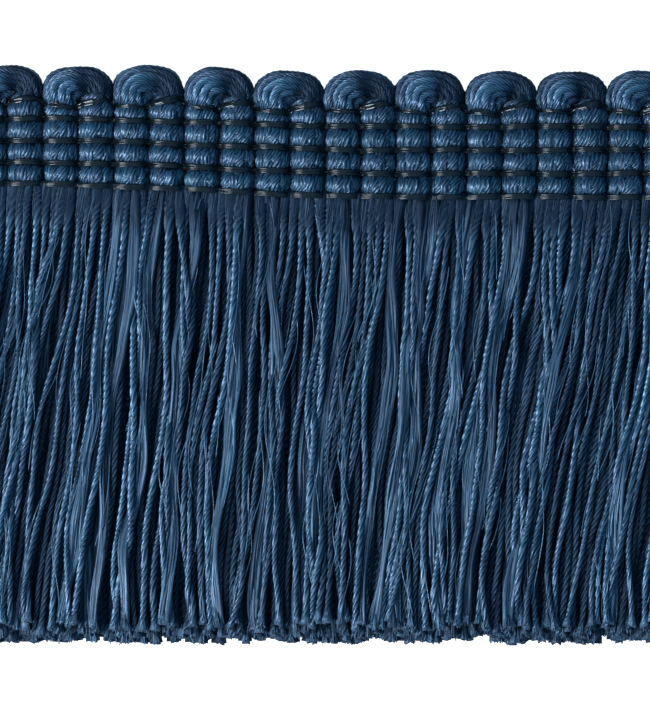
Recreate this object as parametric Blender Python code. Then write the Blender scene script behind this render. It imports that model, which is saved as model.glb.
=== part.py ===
"""Moss fringe: a cut length of scalloped upholstery trimming, lying on its back.

Thick bundles of twisted yarn run up through a woven heading, turn over in a loop at its upper
edge and run down again. Five dark threads bind them across. Below the heading the yarn hangs as
a deep skirt of cut strands. +X runs along the trimming, +Y from the skirt up to the loops and +Z
out of its face, so it rests on the plane Z = 0. Lengths are in metres.

Every solid is first laid out straight, in points (s, h, z): s along the trimming, h above the
lowest binding thread and z above the table. lay_down then gives the uneven lie of the real piece.
"""

import math
import random

import bmesh
import bpy
from mathutils import Vector

# Heading: columns of yarn, two to a scallop
SCALLOP_COUNT = 11
SCALLOPS_LEFT_OF_MIDDLE = 5
COLUMN_PITCH = 0.00354
SCALLOP_PITCH = 2 * COLUMN_PITCH
COLUMN_GAP = 0.0003
COLUMN_WIDTH = COLUMN_PITCH - COLUMN_GAP
COLUMN_DEPTH = 0.0033
COLUMN_FLAT_BACK = 0.0025
GROOVE_WIDTH = 0.0028
GROOVE_DEPTH = 0.00245
GROOVE_HALF_HEIGHT = 0.0005
BULGE_SLOPE = 0.00012
COLUMN_FOOT = -0.00055

# Section of a bundle: its widest place, and the crest between there and the middle
WIDEST_DEPTH_SHARE = 0.42
CREST_WIDTH_SHARE = 0.68
CREST_DEPTH_SHARE = 0.86

# Loops along the upper edge
LOOP_CENTRE_HEIGHT = 0.0091
LOOP_OUTER_RADIUS = 0.0033
LOOP_EYE_RADIUS = 0.00028
LOOP_DEPTH = 0.0036
LOOP_STEPS = 7
LOOP_FULLNESS = 2.4

# Binding threads, by the height of each
BINDING_HEIGHTS = (0.0, 0.00227, 0.00454, 0.00681, 0.0086)
BINDING_RADIUS = 0.0002
BINDING_OVERHANG = 0.0002
BINDING_TOP = 0.00294
BINDING_DIP = 0.0023
BINDING_SHOULDER = 0.00055

# Skirt: strands of triangular section, rooted in a narrow strip under the heading
STRIP_GAP = 0.0003
STRIP_HEIGHT = 0.00075
STRAND_LAYERS = 3
LAYER_DEPTH = 0.00105
ROOTS_PER_COLUMN = 2
STRAND_GAP = 0.0002
SKIRT_LENGTH = 0.0451
LAYER_SHORTENING = 0.0008
TIP_UNEVENNESS = 0.0003
STRAND_WANDER = 0.00003
STRAND_RING_SHARES = (0.3, 0.65, 1.0)
STRAND_SEED = 11

# Lie of the piece: the heading's slant, the skirt's lean and its gathering into locks. Each layer
# of strands has its own lean and locks, so that the strands of one cross those of the next.
HEADING_HEIGHT = LOOP_CENTRE_HEIGHT + LOOP_OUTER_RADIUS
SLANT_START = -0.0305
SLANT_END = 0.0075
FOOT_SLANT = 0.0013
TOP_SLANT = 0.00045
LEAST_LEAN = 0.0026
EXTRA_LEAN = 0.0029
LEAST_LEAN_AT = -0.0025
LEAN_GROWTH = 0.030
LEAN_SHARE = 0.9
LAYER_LEANS = (0.86, 1.0, 1.12)
LOCK_WIDTHS = (0.0087, 0.0053)
LOCK_PULLS = (0.00030, 0.00010)
LAYER_LOCK_TURN = 2.3
LOFT_PER_LENGTH = 0.25
WAVE_WIDTH = 0.0092
WAVE_LOFT = 0.09

YARN_COLOUR = (0.032, 0.080, 0.171, 1.0)
YARN_ROUGHNESS = 0.42
SKIRT_COLOUR = (0.030, 0.074, 0.155, 1.0)
SKIRT_ROUGHNESS = 0.45
BINDING_COLOUR = (0.006, 0.012, 0.022, 1.0)
BINDING_ROUGHNESS = 0.25


def smoothstep(share):
    """0 below 0, 1 above 1, and an S curve between."""
    share = min(1.0, max(0.0, share))
    return share * share * (3.0 - 2.0 * share)


def heading_shift(s, h):
    """How far a point lies above its straight place: the heading's foot slants more than its top."""
    slant = 0.5 - smoothstep((s - SLANT_START) / (SLANT_END - SLANT_START))
    share = min(1.0, max(0.0, h / HEADING_HEIGHT))
    return slant * (FOOT_SLANT * (1.0 - share) + TOP_SLANT * share)


def skirt_lean(s, share):
    """How far a strand has drifted towards -X at this share of its length."""
    growth = smoothstep(abs(s - LEAST_LEAN_AT) / LEAN_GROWTH)
    return (LEAST_LEAN + EXTRA_LEAN * growth) * smoothstep(share / LEAN_SHARE)


def lock_pull(s, share, layer):
    """How far a strand is drawn sideways into the nearest lock of its layer."""
    turn = LAYER_LOCK_TURN * layer
    waves = zip(LOCK_WIDTHS, LOCK_PULLS)
    return share * sum(pull * math.sin(math.tau * s / width + turn) for width, pull in waves)


def lay_down(point):
    """The place on the table of a point (s, h, z) of the straight trimming."""
    s, h, z = point
    if h >= 0.0:
        return Vector((s, h + heading_shift(s, h), z))
    share = min(1.0, -h / SKIRT_LENGTH)
    layer = min(STRAND_LAYERS - 1, int(z / LAYER_DEPTH))
    x = s - LAYER_LEANS[layer] * skirt_lean(s, share) + lock_pull(s, share, layer)
    y = h + heading_shift(s, 0.0) * (1.0 - share)
    wave = math.sin(math.tau * x / WAVE_WIDTH)
    return Vector((x, y, z * (1.0 + share * (LOFT_PER_LENGTH + WAVE_LOFT * wave))))


def new_material(name, colour, roughness):
    """A plain Principled BSDF in the yarn's own colour."""
    material = bpy.data.materials.new(name)
    material.use_nodes = True
    shader = material.node_tree.nodes["Principled BSDF"]
    shader.inputs["Base Color"].default_value = colour
    shader.inputs["Roughness"].default_value = roughness
    shader.inputs["Metallic"].default_value = 0.0
    material.diffuse_color = colour
    return material


def add_object(name, data, material):
    """Links a new object that holds this mesh or curve."""
    data.materials.append(material)
    piece = bpy.data.objects.new(name, data)
    bpy.context.scene.collection.objects.link(piece)
    return piece


def finish_mesh(name, bm, material):
    """Lays the straight shape down and makes it an object with its faces pointing out."""
    for vert in bm.verts:
        vert.co = lay_down(vert.co)
    bmesh.ops.recalc_face_normals(bm, faces=bm.faces)
    mesh = bpy.data.meshes.new(name)
    bm.to_mesh(mesh)
    bm.free()
    return add_object(name, mesh, material)


def column_stations():
    """(height, width, depth) of the sections up one column: grooves at the threads, bulges between."""
    stations = [(COLUMN_FOOT, GROOVE_WIDTH, GROOVE_DEPTH)]
    for lower, upper in zip(BINDING_HEIGHTS, BINDING_HEIGHTS[1:]):
        start = lower + GROOVE_HALF_HEIGHT
        end = upper - GROOVE_HALF_HEIGHT
        stations.append((start, GROOVE_WIDTH, GROOVE_DEPTH))
        stations.append((start + BULGE_SLOPE, COLUMN_WIDTH, COLUMN_DEPTH))
        stations.append((end - BULGE_SLOPE, COLUMN_WIDTH, COLUMN_DEPTH))
        stations.append((end, GROOVE_WIDTH, GROOVE_DEPTH))
    stations.append((LOOP_CENTRE_HEIGHT, GROOVE_WIDTH, GROOVE_DEPTH))
    return stations


def yarn_section(inner, outer, back_inner, back_outer, depth):
    """A bundle's section as (distance from the scallop's middle, z): a flat back and a rounded face."""
    middle = (inner + outer) / 2
    crest = CREST_WIDTH_SHARE * (outer - inner) / 2
    return [
        (back_inner, 0.0),
        (back_outer, 0.0),
        (outer, WIDEST_DEPTH_SHARE * depth),
        (middle + crest, CREST_DEPTH_SHARE * depth),
        (middle, depth),
        (middle - crest, CREST_DEPTH_SHARE * depth),
        (inner, WIDEST_DEPTH_SHARE * depth),
    ]


def column_ring(middle, side, station):
    """The section of one leg of a scallop at a station; side is -1 for the left leg and 1 for the right."""
    height, width, depth = station
    centre = COLUMN_PITCH / 2
    back = COLUMN_FLAT_BACK / 2
    section = yarn_section(centre - width / 2, centre + width / 2, centre - back, centre + back, depth)
    return [Vector((middle + side * out, height, z)) for out, z in section]


def loop_ring(middle, share):
    """The section of the loop at a share of its half turn, rising from the groove to full depth."""
    angle = math.pi * (1.0 - share)
    fullness = min(1.0, LOOP_FULLNESS * math.sin(angle))
    outer = LOOP_OUTER_RADIUS
    depth = GROOVE_DEPTH + (LOOP_DEPTH - GROOVE_DEPTH) * fullness
    centre = COLUMN_PITCH / 2
    back = COLUMN_FLAT_BACK / 2
    section = yarn_section(LOOP_EYE_RADIUS, outer, centre - back, centre + back, depth)
    across, up = math.cos(angle), math.sin(angle)
    return [Vector((middle + across * out, LOOP_CENTRE_HEIGHT + up * out, z)) for out, z in section]


def weft_loop(number, material):
    """One scallop: yarn that runs up a column, turns over in a loop and runs down the next column."""
    first = -SCALLOPS_LEFT_OF_MIDDLE * SCALLOP_PITCH
    middle = first + (number + 0.5) * SCALLOP_PITCH
    stations = column_stations()
    rings = [column_ring(middle, -1, station) for station in stations]
    rings += [loop_ring(middle, step / LOOP_STEPS) for step in range(1, LOOP_STEPS)]
    rings += [column_ring(middle, 1, station) for station in reversed(stations)]
    bm = bmesh.new()
    loops = [[bm.verts.new(point) for point in ring] for ring in rings]
    count = len(loops[0])
    for lower, upper in zip(loops, loops[1:]):
        for i in range(count):
            j = (i + 1) % count
            bm.faces.new((lower[i], lower[j], upper[j], upper[i]))
    bm.faces.new(loops[0])
    bm.faces.new(loops[-1])
    return finish_mesh(f"weft_loop_{number + 1:02d}", bm, material)


def binding_thread(number, height, material):
    """A dark thread that crosses every column in its groove and dips into the valley between two."""
    left = -SCALLOPS_LEFT_OF_MIDDLE * SCALLOP_PITCH
    columns = 2 * SCALLOP_COUNT
    route = [(left - BINDING_OVERHANG, BINDING_DIP)]
    for column in range(columns):
        centre = left + (column + 0.5) * COLUMN_PITCH
        route.append((centre - BINDING_SHOULDER, BINDING_TOP))
        route.append((centre + BINDING_SHOULDER, BINDING_TOP))
        if column < columns - 1:
            route.append((centre + COLUMN_PITCH / 2, BINDING_DIP))
    route.append((left + columns * COLUMN_PITCH + BINDING_OVERHANG, BINDING_DIP))
    curve = bpy.data.curves.new(f"binding_thread_{number}", "CURVE")
    curve.dimensions = "3D"
    curve.bevel_depth = BINDING_RADIUS
    curve.bevel_resolution = 0
    curve.use_fill_caps = True
    spline = curve.splines.new("POLY")
    spline.points.add(len(route) - 1)
    for point, (s, z) in zip(spline.points, route):
        point.co = (*lay_down((s, height, z)), 1.0)
    return add_object(curve.name, curve, material)


def zigzag(bm, lower, upper):
    """Joins a plain row of points to one set off by half a cell; returns the whole triangles."""
    plain, offset = (lower, upper) if len(lower) < len(upper) else (upper, lower)
    cells = len(plain) - 1
    whole = [bm.faces.new((plain[i], plain[i + 1], offset[i + 1])) for i in range(cells)]
    whole += [bm.faces.new((offset[i], offset[i + 1], plain[i])) for i in range(1, cells)]
    bm.faces.new((offset[0], offset[1], plain[0]))
    bm.faces.new((offset[-2], offset[-1], plain[-1]))
    return whole


def root_grid(bm):
    """The strip that holds the strands, with its lower face cut into triangles; returns those triangles."""
    left = -SCALLOPS_LEFT_OF_MIDDLE * SCALLOP_PITCH
    cells = 2 * SCALLOP_COUNT * ROOTS_PER_COLUMN
    cell = COLUMN_PITCH / ROOTS_PER_COLUMN
    top = COLUMN_FOOT - STRIP_GAP
    bottom = top - STRIP_HEIGHT
    plain = [float(i) for i in range(cells + 1)]
    offset = [0.0, *(i + 0.5 for i in range(cells)), float(cells)]
    rows = []
    for layer in range(STRAND_LAYERS + 1):
        places = offset if layer % 2 else plain
        rows.append([bm.verts.new((left + place * cell, bottom, layer * LAYER_DEPTH)) for place in places])
    roots = []
    for lower, upper in zip(rows, rows[1:]):
        roots += zigzag(bm, lower, upper)
    walls = []
    for row in (rows[0], rows[-1]):
        edge = [bm.verts.new((vert.co.x, top, vert.co.z)) for vert in row]
        for i in range(len(row) - 1):
            bm.faces.new((row[i], row[i + 1], edge[i + 1], edge[i]))
        walls.append(edge)
    zigzag(bm, *walls)
    for end in (0, -1):
        bm.faces.new([row[end] for row in rows] + [walls[1][end], walls[0][end]])
    return roots


def layer_of(face):
    """Which layer of strands this root belongs to, from 0 at the back."""
    return int(face.calc_center_median().z / LAYER_DEPTH)


def skirt(material):
    """The cut strands: each root triangle is drawn out of the strip ring by ring, to its own length.

    A strand wanders less over all its rings than half the gap, so it never meets its neighbour.
    """
    rng = random.Random(STRAND_SEED)
    bm = bmesh.new()
    ends = root_grid(bm)
    bmesh.ops.recalc_face_normals(bm, faces=bm.faces)
    bmesh.ops.inset_individual(bm, faces=ends, thickness=STRAND_GAP / 2, use_even_offset=True)
    start = COLUMN_FOOT - STRIP_GAP - STRIP_HEIGHT
    layers = [layer_of(face) for face in ends]
    lengths = [
        SKIRT_LENGTH + start - layer * LAYER_SHORTENING - rng.uniform(0.0, 2 * TIP_UNEVENNESS)
        for layer in layers
    ]
    for share in STRAND_RING_SHARES:
        ends = bmesh.ops.extrude_discrete_faces(bm, faces=ends)["faces"]
        for face, layer, length in zip(ends, layers, lengths):
            aside = rng.uniform(-STRAND_WANDER, STRAND_WANDER)
            lift = rng.uniform(-STRAND_WANDER, STRAND_WANDER) if layer else 0.0
            rest = min(vert.co.z for vert in face.verts) if layer == 0 else 0.0
            for vert in face.verts:
                vert.co.x += aside
                vert.co.y = start - share * length
                vert.co.z += lift - rest
    return finish_mesh("skirt", bm, material)


def centre_on_origin(pieces):
    """Moves every piece so that the middle of the whole, at the table, is the origin."""
    bpy.context.view_layer.update()
    corners = [piece.matrix_world @ Vector(corner) for piece in pieces for corner in piece.bound_box]
    low = Vector(min(corner[axis] for corner in corners) for axis in range(3))
    high = Vector(max(corner[axis] for corner in corners) for axis in range(3))
    for piece in pieces:
        piece.location -= Vector(((low.x + high.x) / 2, (low.y + high.y) / 2, low.z))


def main():
    for old in list(bpy.data.objects):
        bpy.data.objects.remove(old)
    yarn = new_material("weft_yarn", YARN_COLOUR, YARN_ROUGHNESS)
    dark = new_material("binding_yarn", BINDING_COLOUR, BINDING_ROUGHNESS)
    cut_yarn = new_material("skirt_yarn", SKIRT_COLOUR, SKIRT_ROUGHNESS)
    pieces = [weft_loop(number, yarn) for number in range(SCALLOP_COUNT)]
    for number, height in enumerate(BINDING_HEIGHTS, start=1):
        pieces.append(binding_thread(number, height, dark))
    pieces.append(skirt(cut_yarn))
    centre_on_origin(pieces)


main()
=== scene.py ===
"""Moss fringe: the looks of a cut length of scalloped upholstery trimming, laid on its back.

Thick bundles of plied cord run up through the heading, turn over in a loop at its upper edge and run
down again. Five rows of dark filament bind them. Below hangs a deep skirt of cut cords and flat
bundles of silk, each with a brushed end, and a few stray filaments lie over it.

Points are worked out straight first, as (s, h, z): s along the trimming, h above the lowest binding
row and z above the table. lay_down gives the uneven lie of the real piece. Lengths are in metres.
"""

import functools
import math

import bpy
import numpy as np
from bpy.props import FloatProperty, FloatVectorProperty, IntProperty, PointerProperty
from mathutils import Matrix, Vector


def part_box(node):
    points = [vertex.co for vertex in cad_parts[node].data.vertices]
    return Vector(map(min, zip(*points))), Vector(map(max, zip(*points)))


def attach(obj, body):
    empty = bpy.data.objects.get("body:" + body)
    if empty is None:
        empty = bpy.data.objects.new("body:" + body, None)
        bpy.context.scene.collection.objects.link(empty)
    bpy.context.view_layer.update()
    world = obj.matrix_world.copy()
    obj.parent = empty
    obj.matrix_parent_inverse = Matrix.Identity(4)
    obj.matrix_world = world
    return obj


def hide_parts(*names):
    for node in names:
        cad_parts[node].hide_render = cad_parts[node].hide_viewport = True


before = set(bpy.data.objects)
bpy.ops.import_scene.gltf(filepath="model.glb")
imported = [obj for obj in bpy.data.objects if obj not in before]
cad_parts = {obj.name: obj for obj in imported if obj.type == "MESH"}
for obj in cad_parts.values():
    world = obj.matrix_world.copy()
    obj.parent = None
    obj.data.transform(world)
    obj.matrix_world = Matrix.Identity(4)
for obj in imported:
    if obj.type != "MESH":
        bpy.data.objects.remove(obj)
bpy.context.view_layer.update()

bl_info = {
    "name": "Moss fringe",
    "version": (1, 0, 0),
    "blender": (4, 5, 0),
    "location": "3D View > Sidebar > Fringe",
    "description": "Builds a length of moss fringe from its heading down to its cut ends",
    "category": "Add Mesh",
}

MM = 0.001
UP = np.array((0.0, 0.0, 1.0))

# The straight trimming, as the solids have it
SCALLOPS = 11
SCALLOPS_LEFT_OF_MIDDLE = 5
COLUMNS = 2 * SCALLOPS
COLUMN_PITCH = 3.54 * MM
SCALLOP_PITCH = 2 * COLUMN_PITCH
COLUMN_GAP = 0.3 * MM
COLUMN_FOOT = -0.55 * MM
LEFT_END = -SCALLOPS_LEFT_OF_MIDDLE * SCALLOP_PITCH
RIGHT_END = LEFT_END + SCALLOPS * SCALLOP_PITCH
LOOP_CENTRE_HEIGHT = 9.1 * MM
HEADING_HEIGHT = 12.4 * MM
SKIRT_LENGTH = 45.1 * MM

# Its lie: the heading's slant and the skirt's lean
SLANT_START = -30.5 * MM
SLANT_END = 7.5 * MM
FOOT_SLANT = 1.3 * MM
TOP_SLANT = 0.45 * MM
LEAST_LEAN = 2.6 * MM
EXTRA_LEAN = 2.9 * MM
LEAST_LEAN_AT = -2.5 * MM
LEAN_GROWTH = 30 * MM
LEAN_SHARE = 0.9


def smoothstep(share):
    """0 below 0, 1 above 1, and an S curve between."""
    share = np.clip(share, 0.0, 1.0)
    return share * share * (3.0 - 2.0 * share)


def slant_and_lean(s, h, z, lean=1.0):
    """The lie on the table of points of the straight trimming, about the straight trimming's own zero.

    A point of the heading moves up or down by its place along the slant, more at the foot than at the
    top. A point of the skirt drifts to the left as it hangs lower, by a curve half straight and half S.
    """
    share = np.clip(-h / SKIRT_LENGTH, 0.0, 1.0)
    up = np.clip(h / HEADING_HEIGHT, 0.0, 1.0)
    slant = 0.5 - smoothstep((s - SLANT_START) / (SLANT_END - SLANT_START))
    lift = slant * (FOOT_SLANT * (1.0 - up) + TOP_SLANT * up) * (1.0 - share)
    growth = smoothstep(np.abs(s - LEAST_LEAN_AT) / LEAN_GROWTH)
    reach = np.minimum(share / LEAN_SHARE, 1.0)
    drift = (LEAST_LEAN + EXTRA_LEAN * growth) * (reach + smoothstep(reach)) / 2
    return np.stack(np.broadcast_arrays(s - lean * drift, h + lift, z), axis=-1)


def frame_shift():
    """From the straight trimming's zero to the frame's, by the feet of the first and last scallop."""
    first_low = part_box("weft_loop_01")[0]
    last_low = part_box(f"weft_loop_{SCALLOPS:02d}")[0]
    foot = slant_and_lean(np.array(RIGHT_END), np.array(COLUMN_FOOT), 0.0)
    return np.array((first_low.x - LEFT_END - COLUMN_GAP / 2, last_low.y - foot[1], 0.0))


SHIFT = frame_shift()


def lay_down(s, h, z, lean=1.0):
    """The place in the frame of points (s, h, z) of the straight trimming."""
    return slant_and_lean(s, h, z, lean) + SHIFT


# Shapes: the plies and their grooves, and how far apart the noise of two cords is
HEADING_PLIES = 7
SKIRT_PLIES = 4
PLY_POWER = 0.9
# Painted shade in the grooves between plies, on the skirt and on the heading: how much deeper the tone is
# there
PLY_GROOVE_SHADE = 0.45
HEADING_PLY_GROOVE_SHADE = 0.75
FIBRE_STRIDE = 7.3 * MM


def run_lengths(path):
    """How far along its path each ring of each tube lies, (tube, ring)."""
    steps = np.linalg.norm(np.diff(path, axis=1), axis=-1)
    return np.concatenate([np.zeros((len(path), 1)), np.cumsum(steps, axis=1)], axis=1)


def skin(path, across, out):
    """Points of many tubes at once, (tube, ring, corner, 3).

    A corner lies at path + across * side + out * face, where side is level and square to the path and
    face is square to both. None lies below the table.
    """
    along = np.gradient(path, axis=1)
    along /= np.linalg.norm(along, axis=-1, keepdims=True)
    side = np.cross(along, UP)
    side /= np.linalg.norm(side, axis=-1, keepdims=True)
    face = np.cross(side, along)
    points = path[:, :, None] + across[..., None] * side[:, :, None] + out[..., None] * face[:, :, None]
    points[..., 2] = np.maximum(points[..., 2], 0.0)
    return points


def ring_corners(count):
    """Even angles round a ring."""
    return math.tau * np.arange(count) / count


def batch(path, reach, corner, turn, tone, flat=0.0):
    """Tubes whose rings lie about their path at the distance reach and the angle corner + turn.

    Where flat is over 0 a ring is that much wider and half as much lower. The fibre co-ordinates turn
    with the ring, so a fibre follows its ply round the cord.
    """
    angle = corner + turn[..., None]
    flat = np.broadcast_to(flat, path.shape[:2])[..., None]
    points = skin(path, reach * np.cos(angle) * (1.0 + flat), reach * np.sin(angle) * (1.0 - flat / 2))
    length = np.broadcast_to(run_lengths(path)[..., None], reach.shape)
    start = np.arange(len(path))[:, None, None] * FIBRE_STRIDE
    fibre = np.stack([reach * np.cos(corner), reach * np.sin(corner), length + start], axis=-1)
    tones = tone if tone.ndim == 3 else tone.reshape(len(path), -1, 1)
    return points, fibre, np.broadcast_to(tones, reach.shape)


def twist(path, pitch, phase):
    """How far each ring has turned: backwards by a full turn in each pitch, which gives a Z twist."""
    run = run_lengths(path)
    steps = np.diff(run, axis=1, prepend=0.0) / np.broadcast_to(pitch, run.shape)
    return phase[:, None] - math.tau * np.cumsum(steps, axis=1)


def plied(path, radius, corners, plies, hollow, turn, tone, flat=0.0, dip=PLY_GROOVE_SHADE):
    """Plied cords: a ring's distance is radius * (1 - hollow * (1 - |cos (plies * a / 2)| ** power)).

    hollow is how deep the grooves are, for each ring, and dip how much deeper the tone is in them, as painted
    shade.
    """
    corner = ring_corners(corners)
    groove = hollow[..., None] * (1.0 - np.abs(np.cos(corner * plies / 2)) ** PLY_POWER)
    shade = dip * np.sin(corner * plies / 2) ** 2
    tones = tone.reshape(len(path), -1, 1) - shade * np.minimum(4 * hollow[..., None], 1.0)
    return batch(path, radius[..., None] * (1.0 - groove), corner, turn, tones, flat)


def plain(path, radius, corners, tone, flat=0.0):
    """Round cords without relief."""
    reach = np.broadcast_to(radius[..., None], (*path.shape[:2], corners))
    return batch(path, reach, ring_corners(corners), np.zeros(path.shape[:2]), tone, flat)


def ribbons(path, half_width, half_height, corner, roll, tone, least=0.0):
    """Flat bundles: each ring is an ellipse, and least more than that all round."""
    wide = half_width[..., None] * np.cos(corner)
    deep = half_height[..., None] * np.sin(corner)
    return batch(path, np.hypot(wide, deep) + least, np.arctan2(deep, wide), roll, tone)


def resample(rows, count):
    """Values along axis 1 at count even places, by cubic curves through the given rings."""
    given = rows.shape[1]
    place = np.linspace(0.0, given - 1.0, count)
    low = np.clip(np.floor(place).astype(int), 0, given - 2)
    share = (place - low).reshape(1, -1, *([1] * (rows.ndim - 2)))
    before, start, end, after = (rows[:, np.clip(low + step, 0, given - 1)] for step in (-1, 0, 1, 2))
    rise_start = (end - before) / 2
    rise_end = (after - start) / 2
    bend = 3 * (end - start) - 2 * rise_start - rise_end
    skew = 2 * (start - end) + rise_start + rise_end
    return start + share * (rise_start + share * (bend + share * skew))


def places(path, share):
    """Points at shares of the length of each path, on straight lines between its rings."""
    place = share * (path.shape[1] - 1)
    low = np.clip(np.floor(place).astype(int), 0, path.shape[1] - 2)
    start = np.take_along_axis(path, low[..., None], axis=1)
    end = np.take_along_axis(path, low[..., None] + 1, axis=1)
    return start + (place - low)[..., None] * (end - start)


def waves(rng, count, pairs, run):
    """A smooth random curve for each of count rows: a sum of sines with random phases.

    run is how far along each ring lies, and each pair is one wave's length and height.
    """
    phase = rng.uniform(0.0, math.tau, (len(pairs), count, 1))
    total = np.zeros((count, run.shape[-1]))
    for (length, height), start in zip(pairs, phase):
        total += height * np.sin(math.tau * run / length + start)
    return total


def grid_faces(shape, base):
    """Corner lists of the faces of closed tubes on a (tube, ring, corner) grid: sides, then end caps."""
    index = base + np.arange(np.prod(shape)).reshape(shape)
    beside = np.roll(index, -1, axis=2)
    sides = np.stack([index[:, :-1], index[:, 1:], beside[:, 1:], beside[:, :-1]], axis=-1)
    caps = np.concatenate([index[:, 0], index[:, -1, ::-1]])
    return sides.reshape(-1, 4), caps


def gather(batches, part):
    """One part of every batch, end to end."""
    return np.concatenate([tubes[part].ravel() for tubes in batches]).astype(np.float32)


def add_piece(name, batches, material, node):
    """One mesh object made of batches of tubes, with fibre and tone kept on its points."""
    corners, starts, base, filled = [], [], 0, 0
    for points, _, _ in batches:
        for faces in grid_faces(points.shape[:3], base):
            corners.append(faces.ravel())
            starts.append(filled + np.arange(len(faces)) * faces.shape[1])
            filled += faces.size
        base += points[..., 0].size
    mesh = bpy.data.meshes.new(name)
    mesh.vertices.add(base)
    mesh.vertices.foreach_set("co", gather(batches, 0))
    mesh.loops.add(filled)
    mesh.loops.foreach_set("vertex_index", np.concatenate(corners).astype(np.int32))
    starts = np.concatenate(starts).astype(np.int32)
    mesh.polygons.add(len(starts))
    mesh.polygons.foreach_set("loop_start", starts)
    mesh.update(calc_edges=True)
    mesh.shade_smooth()
    mesh.attributes.new("fibre", "FLOAT_VECTOR", "POINT").data.foreach_set("vector", gather(batches, 1))
    mesh.attributes.new("tone", "FLOAT", "POINT").data.foreach_set("value", gather(batches, 2))
    mesh.materials.append(material)
    piece = bpy.data.objects.new(name, mesh)
    bpy.context.scene.collection.objects.link(piece)
    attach(piece, "root")
    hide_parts(node)


# Materials: the width and length of a fibre, a streak and a cast, the relief and the gloss's tint
FIBRE_WIDTH = 0.05 * MM
YARN_FIBRE_LENGTH = 1.6 * MM
FILAMENT_LENGTH = 3.0 * MM
STREAK_WIDTH = 0.13 * MM
CAST_WIDTH = 2.0 * MM
CAST_LENGTH = 6.0 * MM
YARN_RELIEF = 0.12 * MM
FILAMENT_RELIEF = 0.01 * MM
YARN_TINT = (0.80, 0.88, 0.97, 1.0)
FILAMENT_TINT = (0.74, 0.82, 0.92, 1.0)

# The sockets of a Mix node that hold colours
MIX_FIRST = 6
MIX_SECOND = 7
MIX_RESULT = 2


class Value:
    """A socket that takes part in arithmetic: each operation adds its Math node."""

    def __init__(self, tree, socket):
        self.tree = tree
        self.socket = socket

    def math(self, operation, first, second):
        return Value(self.tree, add_node(self.tree, "ShaderNodeMath", {"operation": operation},
                                         {0: first, 1: second}).outputs[0])

    def __add__(self, other):
        return self.math("ADD", self, other)

    __radd__ = __add__

    def __sub__(self, other):
        return self.math("SUBTRACT", self, other)

    def __rsub__(self, other):
        return self.math("SUBTRACT", other, self)

    def __mul__(self, other):
        return self.math("MULTIPLY", self, other)

    __rmul__ = __mul__

    def clamped(self):
        return self.math("MAXIMUM", self.math("MINIMUM", self, 1.0), 0.0)


def fill(tree, node, inputs):
    """Sets sockets of a node to values, or leads links to them."""
    for key, value in inputs.items():
        source = value.socket if isinstance(value, Value) else value
        if isinstance(source, bpy.types.NodeSocket):
            tree.links.new(source, node.inputs[key])
        else:
            node.inputs[key].default_value = source


def add_node(tree, kind, settings, inputs):
    """A node of a kind: its settings are set first, then the values or links of its sockets."""
    node = tree.nodes.new(kind)
    for key, value in settings.items():
        setattr(node, key, value)
    fill(tree, node, inputs)
    return node


def new_material(name):
    """A material with its tree and its Principled BSDF."""
    material = bpy.data.materials.new(name)
    material.use_nodes = True
    return material, material.node_tree, material.node_tree.nodes["Principled BSDF"]


def attribute(tree, name, output):
    """What a piece's points keep: fibre is a place in the cord, and tone the dye together with painted light
    and shade, 0 deepest, 1 palest.
    """
    return add_node(tree, "ShaderNodeAttribute", {"attribute_name": name}, {}).outputs[output]


def blend_colour(tree, share, first, second):
    """The colour a share of the way from the first to the second."""
    node = add_node(tree, "ShaderNodeMix", {"data_type": "RGBA"},
                    {"Factor": share, MIX_FIRST: first, MIX_SECOND: second})
    return node.outputs[MIX_RESULT]


def fibre_noise(tree, across, along, detail):
    """Noise drawn out along the fibres: its grain is across wide and along long."""
    scaled = add_node(tree, "ShaderNodeVectorMath", {"operation": "MULTIPLY"},
                      {0: attribute(tree, "fibre", "Vector"), 1: (1 / across, 1 / across, 1 / along)})
    noise = add_node(tree, "ShaderNodeTexNoise", {},
                     {"Vector": scaled.outputs[0], "Scale": 1.0, "Detail": detail})
    return Value(tree, noise.outputs["Fac"])


def ply_ridges(tree, twist_length):
    """1 along the top of each ply of a skirt cord and 0 in the grooves, from the fibre co-ordinates.

    It is the squared cosine of plies / 2 times the angle round the cord plus a turn for each twist
    length.
    """
    split = add_node(tree, "ShaderNodeSeparateXYZ", {}, {0: attribute(tree, "fibre", "Vector")})
    across, out, along = (Value(tree, part) for part in split.outputs)
    angle = across.math("ARCTAN2", out, across) + along * (math.tau / twist_length)
    cosine = angle.math("COSINE", angle * (SKIRT_PLIES / 2), 0.0)
    return cosine * cosine


def relief(tree, height, distance, strength):
    """The normal of a bumpy surface."""
    inputs = {"Height": height, "Distance": distance, "Strength": strength}
    return add_node(tree, "ShaderNodeBump", {}, inputs).outputs["Normal"]


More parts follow.
